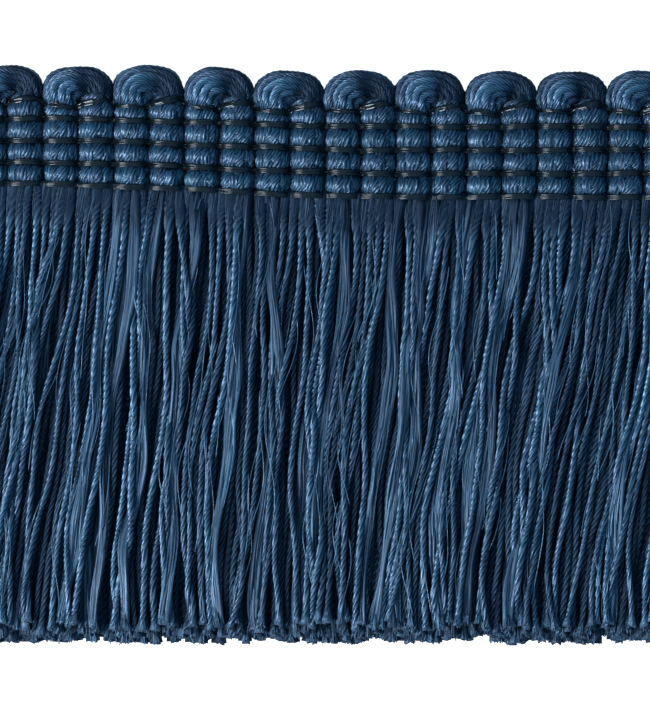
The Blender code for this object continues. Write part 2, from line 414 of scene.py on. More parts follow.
def yarn_material(name, finish, gloss, grain, fuzz=0.35, reach=3.5 * MM, drawn_twist=None):
    """Lustrous yarn: fine fibres along each ply, and a dye that varies from cord to cord.

    gloss is the roughness, fuzz and grain are how much the fibres and the streaks show, and reach is a
    streak's length. drawn_twist draws plies of that twist on plain cords, with painted shade in their
    grooves. Metallic tints the sheen with the dye, as in filament yarn, and rises where the tone is deep,
    from dye or from painted shade.
    """
    material, tree, shader = new_material(name)
    fine = fibre_noise(tree, FIBRE_WIDTH, YARN_FIBRE_LENGTH, 2.0)
    broad = fibre_noise(tree, STREAK_WIDTH, reach, 1.0)
    tone = Value(tree, attribute(tree, "tone", "Fac"))
    shade = tone + (fine - 0.5) * ((0.5 - tone).clamped() * 4.0 + 1.0) * fuzz + (broad - 0.5) * grain
    ridges = fine * fuzz + broad * (0.8 * grain)
    if drawn_twist:
        plies = ply_ridges(tree, drawn_twist)
        # painted shade in the grooves of the drawn plies
        shade = shade + (plies - 1.0) * PLY_GROOVE_SHADE
        ridges = ridges + plies * 1.2
    shade = shade.clamped()
    cast = ((fibre_noise(tree, CAST_WIDTH, CAST_LENGTH, 0.0) - 0.5) * 2.2 + 0.5).clamped()
    pale = blend_colour(tree, cast, (*finish.pale_dye, 1.0), (*finish.violet_dye, 1.0))
    colour = blend_colour(tree, shade, (*finish.deep_dye, 1.0), pale)
    deep = (0.5 - shade).clamped()
    fill(tree, shader, {
        "Base Color": colour,
        "Roughness": (fine - 0.5) * 0.25 + deep * 0.5 + gloss,
        "Metallic": deep * 0.6 + finish.sheen,
        "Normal": relief(tree, ridges, YARN_RELIEF, 1.0),
        "Specular IOR Level": 1.0,
        "Specular Tint": YARN_TINT,
    })
    return material


def filament_material(name, finish, gloss):
    """The binding: near-black, smooth and glossy, with fine grooves between its filaments."""
    material, tree, shader = new_material(name)
    fine = fibre_noise(tree, FIBRE_WIDTH, FILAMENT_LENGTH, 2.0)
    colour = blend_colour(tree, fine, (*finish.binding_dye, 1.0), (*finish.binding_light, 1.0))
    fill(tree, shader, {
        "Base Color": colour,
        "Roughness": (fine - 0.5) * 0.15 + gloss,
        "Normal": relief(tree, fine, FILAMENT_RELIEF, 0.4),
        "Specular IOR Level": 0.42,
        "Specular Tint": FILAMENT_TINT,
    })
    return material


# Heading: where each cord of a scallop runs in a leg, and how its hairpin goes round in the loop
CORD_ROUTES = np.array([
    # out and height in leg, left and right in loop, height and rise of loop, dive to the right, radius
    (0.62, 1.32, 0.20, 1.00, 1.00, 0.00, 0.30, 0.33),
    (0.68, 1.95, 0.55, 1.35, 1.95, 0.35, 1.05, 0.33),
    (0.98, 2.60, 1.15, 1.80, 2.80, 1.02, 1.45, 0.34),
    (1.48, 2.90, 1.75, 2.15, 3.20, 1.60, 1.15, 0.34),
    (2.05, 2.90, 2.35, 2.50, 3.15, 2.14, 0.75, 0.34),
    (2.56, 2.60, 2.90, 2.85, 2.70, 2.64, 0.40, 0.33),
    (2.87, 1.95, 3.34, 3.24, 1.85, 3.00, 0.10, 0.33),
    (2.92, 1.32, 3.42, 3.36, 0.95, 3.08, 0.00, 0.33),
]) * MM

# Plainer cords that fill the bundle from below: they hardly show from the front
FILLER_ROUTES = np.array([
    (0.46, 0.46, 0.30, 0.80, 0.60, 0.20, 0.00, 0.48),
    (1.32, 0.46, 1.10, 1.50, 0.50, 1.00, 0.00, 0.50),
    (2.22, 0.46, 2.10, 2.10, 0.48, 1.85, 0.00, 0.50),
    (3.06, 0.46, 2.98, 2.88, 0.47, 2.75, 0.00, 0.48),
    (0.85, 1.40, 0.80, 1.40, 1.60, 0.55, 0.70, 0.64),
    (1.77, 1.50, 1.70, 1.85, 2.05, 1.45, 0.90, 0.72),
    (2.65, 1.40, 2.60, 2.55, 1.50, 2.25, 0.30, 0.64),
    (3.50, 0.52, 3.10, 3.00, 0.52, 2.80, 0.00, 0.46),
    (0.03, 0.55, 0.03, 0.30, 0.80, 0.05, 0.00, 0.46),
]) * MM

# By cord of CORD_ROUTES: how deep its grooves are, and how much painted light makes it paler on the
# left of the loop and painted shade makes it deeper on the right
CORD_HOLLOW = (0.26, 0.32, 0.38, 0.40, 0.38, 0.28, 0.12, 0.05)
LEFT_PAINTED_LIGHT = (0.12, 0.27, 0.40, 0.46, 0.42, 0.22, -0.14, -0.36)
RIGHT_PAINTED_SHADE = (0.66, 0.90, 0.94, 0.88, 0.66, 0.44, 0.42, 0.42)
GLOW_END = 0.36
GLOW_FADE = 0.3
SHADE_SEED = 70

# The binding rows: four nearly level ones, and the uppermost, which under each scallop falls across
# the left column and then climbs the right
LEVEL_ROWS = np.array((0.0, 2.27, 4.54, 6.81)) * MM
UPPERMOST = len(LEVEL_ROWS)
UPPER_ROW = np.array([
    # along the scallop, height
    (-3.54, 8.55),
    (-2.60, 8.42),
    (-1.00, 8.18),
    (-0.30, 8.12),
    (0.35, 8.48),
    (1.20, 8.65),
    (3.00, 9.02),
    (3.54, 8.80),
]) * MM
ROW_WAVE = 0.05 * MM
ROW_WAVE_LENGTH = 2.6 * MM
ROW_WAVE_SHIFT = 1.7
UPPER_ROW_WAVE = 0.13 * MM
UPPER_ROW_WAVE_LENGTH = 3.1 * MM

# How the binding draws the cords in, and how far it is felt
PINCH_FLAT = 0.26 * MM
PINCH_REACH = 0.86 * MM
PINCH_ROUNDING = 2.2
PINCH_WIDTH = 0.10
PINCH_DEPTH = 0.33

# A hairpin: its foot, where its legs pass into the loop, its squareness and its dive to the right
LEG_FOOT = -0.35 * MM
FOOT_EASE = 0.6 * MM
FOOT_HEIGHT = 0.75
LOOP_START_LEFT = 8.30 * MM
LOOP_START_RIGHT = 8.75 * MM
LOOP_EASE = 0.9 * MM
RISE_EASE_LEFT = 0.9 * MM
RISE_EASE_RIGHT = 2.6 * MM
LOOP_SQUARENESS = 2.6
DIVE_START = 0.30
DIVE_SPAN = 0.40
HAIRPIN_SWAY = ((7.1 * MM, 0.08 * MM), (3.3 * MM, 0.05 * MM))
HAIRPIN_BOB = ((5.9 * MM, 0.07 * MM), (3.1 * MM, 0.05 * MM))

# The cords on it, in the legs and in the loop
HAIRPIN_LENGTH = 29 * MM
# Painted shade: the fillers under the bundle are deeper in tone
FILLER_PAINTED_SHADE = 0.3
LOOP_FLAT = 0.20
LEG_FLAT = 0.70
LEG_PITCH = 1.5
# The legs are painted paler than the loops of the same cords: painted light
LEG_TONE = 0.68
LOOP_TONE = 0.52
LOOP_CALM = 0.85
HEADING_WOBBLE = ((2.9 * MM, 0.45), (1.7 * MM, 0.25))


def scallop_middle(number):
    """Where the middle of a scallop lies along the trimming."""
    return LEFT_END + (number + 0.5) * SCALLOP_PITCH


def row_height(row, s):
    """The height of a binding row at places along the trimming."""
    if row < UPPERMOST:
        return LEVEL_ROWS[row] + ROW_WAVE * np.sin(s / ROW_WAVE_LENGTH + ROW_WAVE_SHIFT * row)
    local = (s - LEFT_END) % SCALLOP_PITCH - SCALLOP_PITCH / 2
    height = np.interp(local, UPPER_ROW[:, 0], UPPER_ROW[:, 1])
    return height + UPPER_ROW_WAVE * np.sin(s / UPPER_ROW_WAVE_LENGTH)


def pinch(s, h):
    """How tightly the binding draws a column in: 1 on a row, and 0 well away from any."""
    near = np.full(np.broadcast(s, h).shape, 1.0)
    for row in range(UPPERMOST + 1):
        beyond = np.abs(h - row_height(row, s)) - PINCH_FLAT
        near = np.minimum(near, np.maximum(beyond, 0.0) / PINCH_REACH)
    return (1.0 - near) ** PINCH_ROUNDING


def hairpins(number, routes, rings, rng):
    """Paths of the cords of one scallop, (cord, ring, 3), each up a leg, round the loop and down again.

    The run along a hairpin gives its height in the leg, then the angle of its half turn. Its place
    along the trimming and its height above the table pass from the leg's to the loop's. The right leg
    is bound higher up than the left one. The half turn is a superellipse: its distance is
    (|cos| ** n + sin ** n) ** (-1 / n). Also gives, from 0 to 1, how far each ring is in the loop and
    how far round it.
    """
    leg_out, leg_z, left_out, right_out, loop_z, loop_rise, loop_dive = routes.T[:7, :, None]
    count = len(routes)
    left_out = left_out + rng.uniform(-0.14, 0.06) * MM
    right_out = right_out + rng.uniform(-0.14, 0.06) * MM
    loop_rise = loop_rise * rng.uniform(0.90, 1.03)
    loop_dive = loop_dive * rng.uniform(0.7, 1.2)
    loop_z = loop_z + rng.uniform(-0.06, 0.06, (count, 1)) * MM
    leg = LOOP_CENTRE_HEIGHT - LEG_FOOT
    total = 2 * leg + math.pi * (left_out + right_out) / 2
    run = np.linspace(0.0, 1.0, rings) * total
    turn = math.pi * np.clip((run - leg) / (total - 2 * leg), 0.0, 1.0)
    leg_h = LEG_FOOT + np.minimum(np.minimum(run, leg), total - run)
    sway = waves(rng, count, HAIRPIN_SWAY, run)
    bob = waves(rng, count, HAIRPIN_BOB, run)
    past_left = run - (LOOP_START_LEFT - LEG_FOOT)
    past_right = total - run - (LOOP_START_RIGHT - LEG_FOOT)
    into_loop = smoothstep(past_left / LOOP_EASE) * smoothstep(past_right / LOOP_EASE)
    risen = smoothstep(past_left / RISE_EASE_LEFT) * smoothstep(past_right / RISE_EASE_RIGHT)
    square = np.abs(np.cos(turn)) ** LOOP_SQUARENESS + np.sin(turn) ** LOOP_SQUARENESS
    square = square ** (-1 / LOOP_SQUARENESS)
    h = leg_h + (loop_rise + 0.5 * bob) * np.sin(turn) * square
    side = np.where(run < total / 2, -1.0, 1.0)
    tight = pinch(scallop_middle(number) + side * leg_out, leg_h) * (1.0 - risen)
    middle = COLUMN_PITCH / 2
    in_leg = side * (middle + (leg_out - middle) * (1.0 - PINCH_WIDTH * tight)) + sway
    in_loop = (right_out - left_out) / 2 - np.cos(turn) * square * (left_out + right_out) / 2 + sway
    along = in_leg + (in_loop - in_leg) * into_loop
    deep = loop_dive * smoothstep((turn / math.pi - DIVE_START) / DIVE_SPAN)
    z = leg_z * (1.0 - PINCH_DEPTH * tight) + (loop_z - deep - leg_z) * risen + bob
    z = z * (FOOT_HEIGHT + (1 - FOOT_HEIGHT) * smoothstep((leg_h - LEG_FOOT) / FOOT_EASE))
    return lay_down(scallop_middle(number) + along, h, z), into_loop, turn / math.pi


def loop_painted_light_and_shade(number, in_loop, around):
    """Painted light and shade on each cord of one scallop: paler on the left of its loop, deeper on the
    right.

    Where the one passes into the other and how strong both are differ a little between scallops.
    """
    own = np.random.default_rng(SHADE_SEED + number)
    right = smoothstep((around - GLOW_END - own.uniform(-0.10, 0.10)) / GLOW_FADE)
    glow = np.reshape(LEFT_PAINTED_LIGHT, (-1, 1)) * (1.0 - right) - np.reshape(RIGHT_PAINTED_SHADE, (-1, 1)) * right
    return in_loop * glow * own.uniform(0.75, 1.15)


def loop_cords(number, heading, material, rng):
    """One scallop: a bundle of plied cords, with plainer ones underneath."""
    batches = []
    for routes, corners, rings_a_twist, depth in (
        (CORD_ROUTES, 28, 6.6, CORD_HOLLOW),
        (FILLER_ROUTES, 6, 4.0, 0.0),
    ):
        rings = int(rings_a_twist * HAIRPIN_LENGTH / heading.twist_length)
        path, in_loop, around = hairpins(number, routes, rings, rng)
        count = len(path)
        radius = routes[:, 7:] * rng.uniform(0.95, 1.06, (count, 1)) * np.ones(rings)
        flat = LEG_FLAT + (LOOP_FLAT - LEG_FLAT) * in_loop
        path[..., 2] = np.maximum(path[..., 2], radius)
        pitch = heading.twist_length * rng.uniform(0.9, 1.1, (count, 1))
        pitch = pitch * (LEG_PITCH + (1 - LEG_PITCH) * in_loop)
        turn = twist(path, pitch, rng.uniform(0.0, math.tau, count))
        turn = turn + waves(rng, count, HEADING_WOBBLE, run_lengths(path)) * (1.0 - LOOP_CALM * in_loop)
        tone = LEG_TONE + (LOOP_TONE - LEG_TONE) * in_loop + rng.uniform(-0.12, 0.12, (count, 1))
        if routes is CORD_ROUTES:
            # painted light on the left of the loop and painted shade on its right
            tone = tone + loop_painted_light_and_shade(number, in_loop, around)
        else:
            # painted shade on the fillers under the bundle
            tone = tone - FILLER_PAINTED_SHADE
        hollow = np.broadcast_to(np.reshape(depth, (-1, 1)), radius.shape)
        batches.append(plied(path, radius, corners, HEADING_PLIES, hollow, turn, tone, flat,
                             HEADING_PLY_GROOVE_SHADE))
    add_piece(f"loop_cords_{number + 1:02d}", batches, material, f"weft_loop_{number + 1:02d}")


# The filaments of a binding row: how high they arch over a column and how low they dip beside it
ROW_STEP = 0.33 * MM
ROW_OVERHANG = 0.15 * MM
ROW_TOP = 2.52 * MM
ROW_LOW = 0.85 * MM
LOWEST_ROW_LOW = 1.25 * MM
UPPER_ROW_LOW = 1.3 * MM
ARCH_POWER = 2.5
ARCH_ROUNDING = 0.55
UPPER_ARCH_POWER = 1.8
DIP_SHIFT = 0.12
DIP_SHIFT_LENGTH = 5.3 * MM
FILAMENT_SPACING = 1.35
FILAMENT_CORNERS = 6
FILAMENT_FLAT = 0.3
UPPER_FILAMENT_FLAT = 0.9
FILAMENT_LIFT = ((4.7 * MM, 0.012 * MM), (2.9 * MM, 0.008 * MM))
FILAMENT_WEAVE = ((6.1 * MM, 0.02 * MM), (3.7 * MM, 0.01 * MM))
BACK_HEIGHT = 0.11 * MM
BACK_SIZE = 0.9


def binding_row(row, heading, material, rng):
    """One binding row: filaments side by side that arch over every column and dip between two.

    Over a column the height follows (1 - q ** 2.5) ** 0.55, and 1 - q ** 1.8 in the uppermost row,
    where q runs from 0 at its middle to 1 at its edge. One filament lies behind.
    """
    s = np.arange(LEFT_END - ROW_OVERHANG, RIGHT_END + ROW_OVERHANG, ROW_STEP)
    h = row_height(row, s)
    count = heading.filaments
    shift = rng.uniform(-DIP_SHIFT, DIP_SHIFT, (count, 1)) * MM
    column = (s - LEFT_END + shift * np.sin(s / DIP_SHIFT_LENGTH + row)) % COLUMN_PITCH / COLUMN_PITCH
    q = np.abs(2 * column - 1)
    arch, low, flat = (1.0 - q ** ARCH_POWER) ** ARCH_ROUNDING, ROW_LOW, FILAMENT_FLAT
    if row == 0:
        low = LOWEST_ROW_LOW
    if row == UPPERMOST:
        arch, low, flat = 1.0 - q ** UPPER_ARCH_POWER, UPPER_ROW_LOW, UPPER_FILAMENT_FLAT
    z = low + (ROW_TOP - low) * arch
    spread = (np.arange(count) - (count - 1) / 2) * heading.filament_radius * FILAMENT_SPACING
    lift = waves(rng, count, FILAMENT_LIFT, s[None])
    weave = waves(rng, count, FILAMENT_WEAVE, s[None])
    path = lay_down(np.broadcast_to(s, lift.shape), h + spread[:, None] + weave, z + lift)
    radius = np.full((count, 1), heading.filament_radius)
    front = plain(path, radius, FILAMENT_CORNERS, np.full(count, 0.5), flat)
    behind = lay_down(s[None], h[None], np.full((1, len(s)), BACK_HEIGHT))
    back = plain(behind, radius[:1] * BACK_SIZE, FILAMENT_CORNERS, np.full(1, 0.5))
    name = f"binding_filaments_{row + 1}"
    add_piece(name, [front, back], material, f"binding_thread_{row + 1}")


# Skirt: its layers, from the table up. Heights are in millimetres at the roots, below them and where
# the strands lie flat, and CROWN is how much higher the middle of a column's front strands starts
LAYERS = 3
FRONT = LAYERS - 1
STRANDS_BY_LAYER = (8, 5, 4)
ROOT_WIDTHS = (COLUMN_PITCH, 0.95 * COLUMN_PITCH, 3.2 * MM)
ROOT_HEIGHTS = (0.45, 1.15, 1.75)
FULL_HEIGHTS = (0.45, 1.35, 1.75)
FLAT_HEIGHTS = (0.5, 1.4, 2.4)
CROWN = 0.65
LOCK_SHARES = (0.5, 0.9, 1.15)
WANDER_SHARES = (0.6, 1.0, 1.2)

# A strand: its ends, its thickness and its course; the tip and the radii are in millimetres
STRAND_TOP = 0.35 * MM
TIP_HEIGHT = -45.0
TIP_STEP = 0.75
STRAND_RADII = (0.28, 0.39)
LIE_RINGS = 49
SPREAD_SHARE = 0.07
RISE_SHARE = 0.03
EVEN_SHARE = 0.09
HOLD_SHARE = 0.08
WANDER_START = 0.22
WANDER = ((33 * MM, 0.42 * MM), (17 * MM, 0.18 * MM), (9 * MM, 0.07 * MM))
STRAND_BOB = ((23 * MM, 0.16 * MM), (12 * MM, 0.08 * MM))
LOCK_DRIFT = 1.2
LOCKS = np.array([
    # width of a lock and pull in millimetres, share of the length where it has grown
    (13.1, 0.50, 0.7),
    (7.7, 0.50, 0.45),
    (4.6, 0.44, 0.3),
    (2.9, 0.18, 0.2),
])

# How strands are settled on each other
NEIGHBOURS = 44
SETTLE_STEPS = 36
SETTLE_PUSH = 0.3
SETTLE_RETURN = 0.06
SETTLE_SINK = 0.012 * MM
LEAST_GAP = 0.01 * MM


def settle(x, z, radius, hold):
    """Rests round strands on the table and on each other, ring by ring.

    Strands are in order along the trimming, so each is only set against its neighbours in the list. Two
    that overlap are pushed apart along the line between them, in proportion to the overlap; all sink a
    little at each step, and are drawn back to where they were along the trimming. hold is how free each
    ring is to move, 0 at the roots.
    """
    goal = x.copy()
    start = z.copy()
    for _ in range(SETTLE_STEPS):
        push_x = np.zeros_like(x)
        push_z = np.zeros_like(z)
        for step in range(1, NEIGHBOURS + 1):
            dx = x[step:] - x[:-step]
            dz = z[step:] - z[:-step]
            gap = np.sqrt(dx * dx + dz * dz) + LEAST_GAP
            reach = (radius[step:] + radius[:-step])[:, None]
            push = SETTLE_PUSH * np.clip(reach / gap - 1.0, 0.0, 1.0)
            push_x[step:] += push * dx
            push_x[:-step] -= push * dx
            push_z[step:] += push * dz
            push_z[:-step] -= push * dz
        x = x + hold * (push_x + SETTLE_RETURN * (goal - x))
        z = z + hold * (push_z - SETTLE_SINK)
        z = np.maximum(z, radius[:, None])
        for rows in (x, z):
            rows[:, 1:-1] = 0.25 * rows[:, :-2] + 0.5 * rows[:, 1:-1] + 0.25 * rows[:, 2:]
        z[:, 0] = start[:, 0]
    return x, z


def strand_roots(rng):
    """The column, the layer and the place across the column, -0.5 to 0.5, of each strand in turn."""
    each = np.array(STRANDS_BY_LAYER)
    place = np.concatenate([np.arange(count) for count in each])
    layer = np.tile(np.repeat(np.arange(LAYERS), each), COLUMNS)
    column = np.repeat(np.arange(COLUMNS), each.sum())
    across = (np.tile(place, COLUMNS) + 0.5) / each[layer] - 0.5
    across = across + rng.uniform(-0.055, 0.055, column.size)
    order = np.argsort(column + across, kind="stable")
    return column[order], layer[order], across[order]


def lock_pull(s, layer, share, rng):
    """How far strands are drawn along the trimming into locks.

    It is a sum of sines of the place s, one for each width of lock. Each grows along the strand, and
    drifts a little to one side or the other.
    """
    pull = np.zeros_like(s)
    for number, (lock_width, strength, grown) in enumerate(LOCKS):
        phase = rng.uniform(0.0, math.tau, LAYERS)[layer][:, None]
        turn = math.tau * s / (lock_width * MM) + phase + LOCK_DRIFT * share * (number % 2 * 2 - 1)
        pull += strength * MM * smoothstep(share / grown) * np.sin(turn)
    return pull * np.choose(layer, LOCK_SHARES)[:, None]


@functools.lru_cache(maxsize=1)
def skirt_lie():
    """Paths of all the skirt's strands, (strand, ring, 3), with the layer and radius of each.

    A strand starts behind the lowest row inside its column, spreads out below it, and then leans,
    gathers into locks and wanders on its own. settle keeps the strands from running through each other.
    """
    rng = np.random.default_rng(23)
    column, layer, across = strand_roots(rng)
    count = len(column)
    radius = rng.uniform(*STRAND_RADII, count) * MM
    share = np.linspace(0.0, 1.0, LIE_RINGS)
    tip = (TIP_HEIGHT + TIP_STEP * layer + rng.uniform(-0.5, 0.5, count)) * MM
    h = STRAND_TOP + share * (tip[:, None] - STRAND_TOP)
    narrow = np.choose(layer, ROOT_WIDTHS)[:, None]
    width = narrow + (COLUMN_PITCH - narrow) * smoothstep(share / SPREAD_SHARE)
    s = LEFT_END + (column[:, None] + 0.5) * COLUMN_PITCH + across[:, None] * width
    pull = lock_pull(s, layer, share, rng)
    run = share * SKIRT_LENGTH
    wander = waves(rng, count, WANDER, run)
    wander *= smoothstep(share / WANDER_START) * np.choose(layer, WANDER_SHARES)[:, None]
    lean = (1.0 + rng.normal(0.0, 0.20, count))[:, None]
    place = lay_down(s, h, 0.0, lean)
    crown = np.sqrt(np.clip(1.0 - (2 * across) ** 2 * 0.8, 0.0, 1.0)) * (layer == FRONT)
    root_z = np.choose(layer, ROOT_HEIGHTS) * MM
    full_z = (np.choose(layer, FULL_HEIGHTS) + CROWN * crown) * MM
    flat_z = np.choose(layer, FLAT_HEIGHTS) * MM
    rise = smoothstep(share / RISE_SHARE)
    even = smoothstep((share - RISE_SHARE) / EVEN_SHARE)
    z = root_z[:, None] + (full_z - root_z)[:, None] * rise + (flat_z - full_z)[:, None] * even
    z += waves(rng, count, STRAND_BOB, run) * even
    hold = smoothstep((share - RISE_SHARE) / HOLD_SHARE)
    x, z = settle(place[..., 0] + pull + wander, z, radius, hold)
    return np.stack([x, place[..., 1], z], axis=-1), layer, radius


def silk_share(skirt):
    """Which strands are flat bundles of silk and not cords."""
    _, layer, _ = skirt_lie()
    chance = np.random.default_rng(47).uniform(size=len(layer))
    return chance < np.where(layer == FRONT, skirt.silk_share, 0.6 * skirt.silk_share)


def root_share(share):
    """1 at a strand's root, where its plies lie open and flat, and 0 where it has closed to a cord."""
    return 1.0 - smoothstep((share - 0.02) / 0.12)


def add_skirt_piece(name, batches, material):
    """A piece of the skirt."""
    add_piece(name, batches, material, "skirt")


# The cords: what differs at their roots and tips, with painted shade that darkens the roots
ROOT_FLAT = 1.0
ROOT_PAINTED_SHADE = 0.47
ROOT_CALM = 0.85
ROOT_EVENNESS = 0.6
TIP_SWELL = 0.22
TIP_START = 0.97
TIP_SPAN = 0.03
CORD_WOBBLE = ((8.3 * MM, 0.8), (3.7 * MM, 0.4))
UNDER_SIZE = 0.92


def skirt_cords(skirt, material, under_material):
    """The skirt's plied cords: modelled plies where they show, and plain cords underneath."""
    path, layer, radius = skirt_lie()
    rng = np.random.default_rng(31)
    silk = silk_share(skirt)
    shown = (layer == FRONT) & ~silk
    left = np.arange(len(path)) < len(path) / 2
    # The middle and back cords are deeper in tone than the front ones: painted shade under the front layer
    for name, chosen, modelled, corners, rings, painted_layer_shade, flat in (
        ("skirt_cords_left", shown & left, True, 16, 94, 0.0, 0.0),
        ("skirt_cords_right", shown & ~left, True, 16, 94, 0.0, 0.0),
        ("skirt_cords_middle", (layer == 1) & ~silk, False, 6, 60, -0.20, 0.0),
        ("skirt_cords_back", (layer == 0) & ~silk, False, 5, 44, -0.38, 1.3),
    ):
        fine = resample(path[chosen], rings)
        count = len(fine)
        share = np.linspace(0.0, 1.0, rings)
        thick = radius[chosen][:, None] * (1.0 + TIP_SWELL * smoothstep((share - TIP_START) / TIP_SPAN))
        root = root_share(share)
        pitch = skirt.twist_length * rng.uniform(0.85, 1.2, (count, 1))
        turn = twist(fine, pitch, rng.uniform(0.0, math.tau, count))
        turn = turn + waves(rng, count, CORD_WOBBLE, run_lengths(fine))
        own = rng.normal(0.0, 0.10, (count, 1)) * (1.0 - ROOT_EVENNESS * root)
        # painted shade darkens the roots
        tone = 0.50 + painted_layer_shade + own - ROOT_PAINTED_SHADE * root
        if modelled:
            hollow = np.tile(skirt.ply_hollow * (1.0 - ROOT_CALM * root), (count, 1))
            cords = plied(fine, thick, corners, SKIRT_PLIES, hollow, turn, tone, ROOT_FLAT * root)
            add_skirt_piece(name, [cords], material)
        else:
            cords = plain(fine, UNDER_SIZE * thick, corners, tone, flat + (ROOT_FLAT - flat) * root)
            add_skirt_piece(name, [cords], under_material)


# The silk
SILK_PARTS = 5
SILK_RINGS = 40
SILK_HALF_WIDTH = 0.21 * MM
SILK_HALF_HEIGHT = 0.065 * MM
SILK_LOWEST = 0.16 * MM
SILK_ROOT_LIFT = 0.07 * MM
SILK_ROOT_WIDER = 0.8
SILK_ROOT_PAINTED_SHADE = 1.2 * ROOT_PAINTED_SHADE
SILK_WIDEN = ((23 * MM, 0.25), (11 * MM, 0.15))
SILK_ROLL = ((37 * MM, 0.5), (19 * MM, 0.3))
SILK_PARTING = ((13 * MM, 0.07 * MM), (7 * MM, 0.04 * MM))
SILK_BOB = ((11 * MM, 0.06 * MM),)
SILK_SWELL = ((9 * MM, 0.12),)


def silk_bundles(skirt, material):
    """Flat bundles of untwisted silk: parts side by side that widen, part, close up and change places.

    A part's place across its bundle is its rank times the bundle's width, plus a wave of its own.
    """
    path, layer, _ = skirt_lie()
    chosen = silk_share(skirt)
    rng = np.random.default_rng(53)
    fine = resample(path[chosen], SILK_RINGS)
    bundles = len(fine)
    fine = np.repeat(fine, SILK_PARTS, axis=0)
    count = len(fine)
    run = np.linspace(0.0, SKIRT_LENGTH, SILK_RINGS)
    root = root_share(run / SKIRT_LENGTH)
    rank = np.tile(np.arange(SILK_PARTS) / (SILK_PARTS - 1) - 0.5, bundles)[:, None]
    widen = np.repeat(1.0 + waves(rng, bundles, SILK_WIDEN, run), SILK_PARTS, axis=0)
    roll = np.repeat(waves(rng, bundles, SILK_ROLL, run), SILK_PARTS, axis=0)
    across = rank * widen * skirt.silk_width + waves(rng, count, SILK_PARTING, run)
    fine[..., 0] += across * np.cos(roll)
    fine[..., 2] += across * np.sin(roll) + waves(rng, count, SILK_BOB, run)
    fine[..., 2] += SILK_ROOT_LIFT * root
    fine[..., 2] = np.maximum(fine[..., 2], SILK_LOWEST)
    size = rng.uniform(0.8, 1.25, (count, 1)) * (1.0 + waves(rng, count, SILK_SWELL, run))
    # Silk under the front layer is deeper in tone: painted shade
    dye = rng.normal(0.38, 0.10, bundles) - 0.18 * (layer[chosen] < FRONT)
    tone = np.repeat(dye, SILK_PARTS) + rng.normal(0.0, 0.05, count)
    # painted shade darkens the roots
    tone = tone[:, None] - SILK_ROOT_PAINTED_SHADE * root
    parts = ribbons(fine, SILK_HALF_WIDTH * (size * (1.0 + SILK_ROOT_WIDER * root)), SILK_HALF_HEIGHT * size,
                    ring_corners(5), roll, tone)
    add_skirt_piece("skirt_silk", [parts], material)


# The roots: open fibres over the front strands, and flat laps of fibre behind them
CARRIER_RINGS = 241
LEAST_RADIUS = 0.004 * MM
FIBRE_HALF_HEIGHT = 0.03 * MM
FIBRE_LIFT = 0.02 * MM
FIBRE_SPREAD = 0.4 * MM
FIBRE_DROP = 0.06 * MM
FIBRE_CLOSING = 0.6
COLUMN_INSIDE = 1.7 * MM
ROOT_SLANT = 0.35 * MM
LAP_HALF_HEIGHT = 0.06 * MM
LAP_DEPTH = 0.10 * MM
LAP_SINK = 0.16 * MM


def open_fibres(skirt, rng):
    """Fibres that lie open over the roots of the front strands and run out to points on them.

    Each starts up to FIBRE_SPREAD aside of its strand, inside the column, lower the further aside it
    lies. On its way it closes in on the strand and slants to the left.
    """
    path, layer, radius = skirt_lie()
    front = layer == FRONT
    carrier = np.repeat(resample(path[front], CARRIER_RINGS), skirt.root_fibres, axis=0)
    size = np.repeat(radius[front], skirt.root_fibres)[:, None]
    count, rings, corners = len(carrier), 6, 3
    run = np.linspace(0.0, 1.0, rings)
    share = rng.uniform(0.03, 0.11, (count, 1)) * run
    line = places(carrier, share)
    in_column = (line[:, :1, 0] - SHIFT[0] - LEFT_END) % COLUMN_PITCH - COLUMN_PITCH / 2
    aside = rng.uniform(-0.4, 0.4, (count, 1)) * MM
    aside = np.clip(in_column + aside, -COLUMN_INSIDE, COLUMN_INSIDE) - in_column
    line[..., 0] += aside * (1.0 - FIBRE_CLOSING * run)
    line[..., 0] -= ROOT_SLANT * run
    lift = size * (1.0 - ROOT_FLAT / 2 * root_share(share)) - (aside / FIBRE_SPREAD) ** 2 * FIBRE_DROP
    line[..., 2] += lift + FIBRE_LIFT
    taper = 1.0 - 0.96 * run ** 2
    half_width = rng.uniform(0.03, 0.085, (count, 1)) * MM * taper
    roll = rng.normal(0.0, 0.2, (count, 1)) * np.ones(rings)
    # Deep tone: painted shade over the roots
    tone = 0.18 + rng.normal(0.0, 0.18, count)
    corner = ring_corners(corners) + math.tau / 4
    return ribbons(line, half_width, FIBRE_HALF_HEIGHT * taper, corner, roll, tone, LEAST_RADIUS)


def root_laps(rng):
    """Flat laps of open fibre, one behind each front strand's root, that close the gaps between them.

    A lap sinks away from its strand and its width falls to a point, as the root of 1 - 0.99 * run ** 2.
    """
    path, layer, _ = skirt_lie()
    carrier = resample(path[layer == FRONT], CARRIER_RINGS)
    count, rings, corners = len(carrier), 8, 6
    run = np.linspace(0.0, 1.0, rings)
    line = places(carrier, rng.uniform(0.07, 0.13, (count, 1)) * run)
    line[..., 2] -= LAP_DEPTH + LAP_SINK * run
    taper = np.sqrt(1.0 - 0.99 * run ** 2)
    half_width = rng.uniform(0.6, 0.75, (count, 1)) * MM * taper
    # Deep tone: painted shade behind the roots
    tone = 0.12 + rng.normal(0.0, 0.06, count)
    return ribbons(line, half_width, LAP_HALF_HEIGHT * taper, ring_corners(corners),
                   np.zeros((count, rings)), tone, LEAST_RADIUS)


# The strays and the brushed ends
STRAY_CARRIER_RINGS = 181
STRAY_LIFT = 0.42 * MM
STRAY_DRIFT = ((21 * MM, 0.6 * MM), (11 * MM, 0.15 * MM))
STRAY_BOB = ((9 * MM, 0.2 * MM),)
LOOSE_CORNERS = 3
TUFT_FLAT = 0.3
END_RINGS = 4
END_LOWEST = 0.06 * MM


